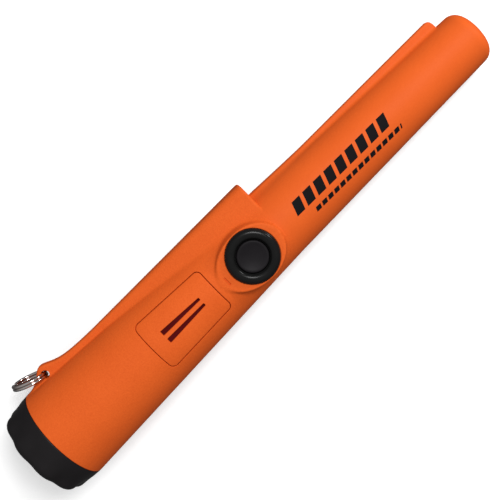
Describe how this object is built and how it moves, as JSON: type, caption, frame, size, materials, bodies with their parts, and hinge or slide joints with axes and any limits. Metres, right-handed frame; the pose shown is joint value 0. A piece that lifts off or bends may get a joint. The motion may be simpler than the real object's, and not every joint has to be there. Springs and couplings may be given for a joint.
{
  "type": "pinpointer probe",
  "caption": "Tapered hand-held metal-detecting probe with a lamp block, scraping blade, push button, speaker panel, screw-on battery cap and lanyard ring.",
  "frame": {"origin": "centre of the battery cap's flat end face, on the probe's axis", "axes": "+X along the probe's axis to the sensing tip, +Y towards the scraping blade and lamp block, +Z out through the push button"},
  "size_m": [0.229, 0.0463, 0.0396],
  "materials": {
    "orange_housing": "fine moulded grain",
    "black_cap": "fine moulded grain",
    "key_rubber": "satin",
    "surround_gloss": "gloss",
    "seal_rubber": "satin",
    "foam": "open cell foam",
    "ring_steel": "bright",
    "membrane": "dark red film",
    "white_plastic": "moulded",
    "dark_plastic": "moulded",
    "speaker_metal": "stamped",
    "lens_clear": "clear",
    "led_clear": "clear epoxy",
    "battery_can": "printed steel",
    "cell_fill": "plain",
    "terminal_metal": "nickel",
    "contact_brass": "sprung",
    "board_green": "solder mask",
    "chip_black": "moulded",
    "capacitor_can": "sleeved",
    "screw_steel": "zinc",
    "lead_red": "insulation",
    "motor_steel": "drawn",
    "weight_metal": "sintered",
    "ferrite": "sintered",
    "coil_wire": "enamelled wire",
    "stem_red": "moulded"
  },
  "bodies": {
    "housing": {"housing_shell": "orange_housing", "thread_ring": "orange_housing", "button_surround": "surround_gloss", "switch_body": "dark_plastic", "speaker_panel": "orange_housing", "speaker_membrane": "membrane", "speaker_gasket": "foam", "speaker_driver": "speaker_metal", "speaker_magnet": "speaker_metal", "lamp_lens": "lens_clear", "lamp_led": "led_clear", "battery_case": "battery_can", "battery_cells": "cell_fill", "battery_terminals": "terminal_metal", "battery_rails": "foam", "contact_plate": "board_green", "battery_contacts": "contact_brass", "battery_leads": "lead_red", "chassis_tray": "dark_plastic", "main_board": "board_green", "board_chips": "chip_black", "board_capacitors": "capacitor_can", "board_screws": "screw_steel", "motor_cradle": "dark_plastic", "motor_can": "motor_steel", "coil_bobbin": "white_plastic", "ferrite_rod": "ferrite", "transmit_coil": "coil_wire", "receive_coils": "coil_wire", "coil_leads": "coil_wire", "tip_cushion": "foam"},
    "cap_carrier": {"o_ring": "seal_rubber"},
    "cap": {"battery_cap": "black_cap", "cap_pad": "foam"},
    "key": {"button_key": "key_rubber", "key_plunger": "white_plastic", "switch_stem": "stem_red"},
    "ring": {"split_ring": "ring_steel"},
    "rotor": {"motor_shaft": "motor_steel", "motor_weight": "weight_metal"}
  },
  "joints": [
    {"name": "cap_travel", "type": "slide", "parent": "housing", "child": "cap_carrier", "axis": [-1, 0, 0], "range_m": [0, 0.0075]},
    {"name": "cap_turn", "type": "hinge", "parent": "cap_carrier", "child": "cap", "pos_m": [0, 0, 0], "axis": [-1, 0, 0], "range_deg": [0, 900]},
    {"name": "key_press", "type": "slide", "parent": "housing", "child": "key", "axis": [0, 0, -1], "range_m": [0, 0.001], "stiffness_N_per_m": 900, "springref_m": -0.0006},
    {"name": "ring_swing", "type": "hinge", "parent": "housing", "child": "ring", "pos_m": [0.0237, 0.0209, 0], "axis": [0, 0, -1], "range_deg": [-15, 135]},
    {"name": "rotor_spin", "type": "hinge", "parent": "housing", "child": "rotor", "pos_m": [0.0648, 0, -0.0076], "axis": [1, 0, 0], "continuous": true}
  ],
  "couplings": [
    {"joint": "cap_turn", "follows": "cap_travel", "rad_per_m": 2094.4}
  ]
}
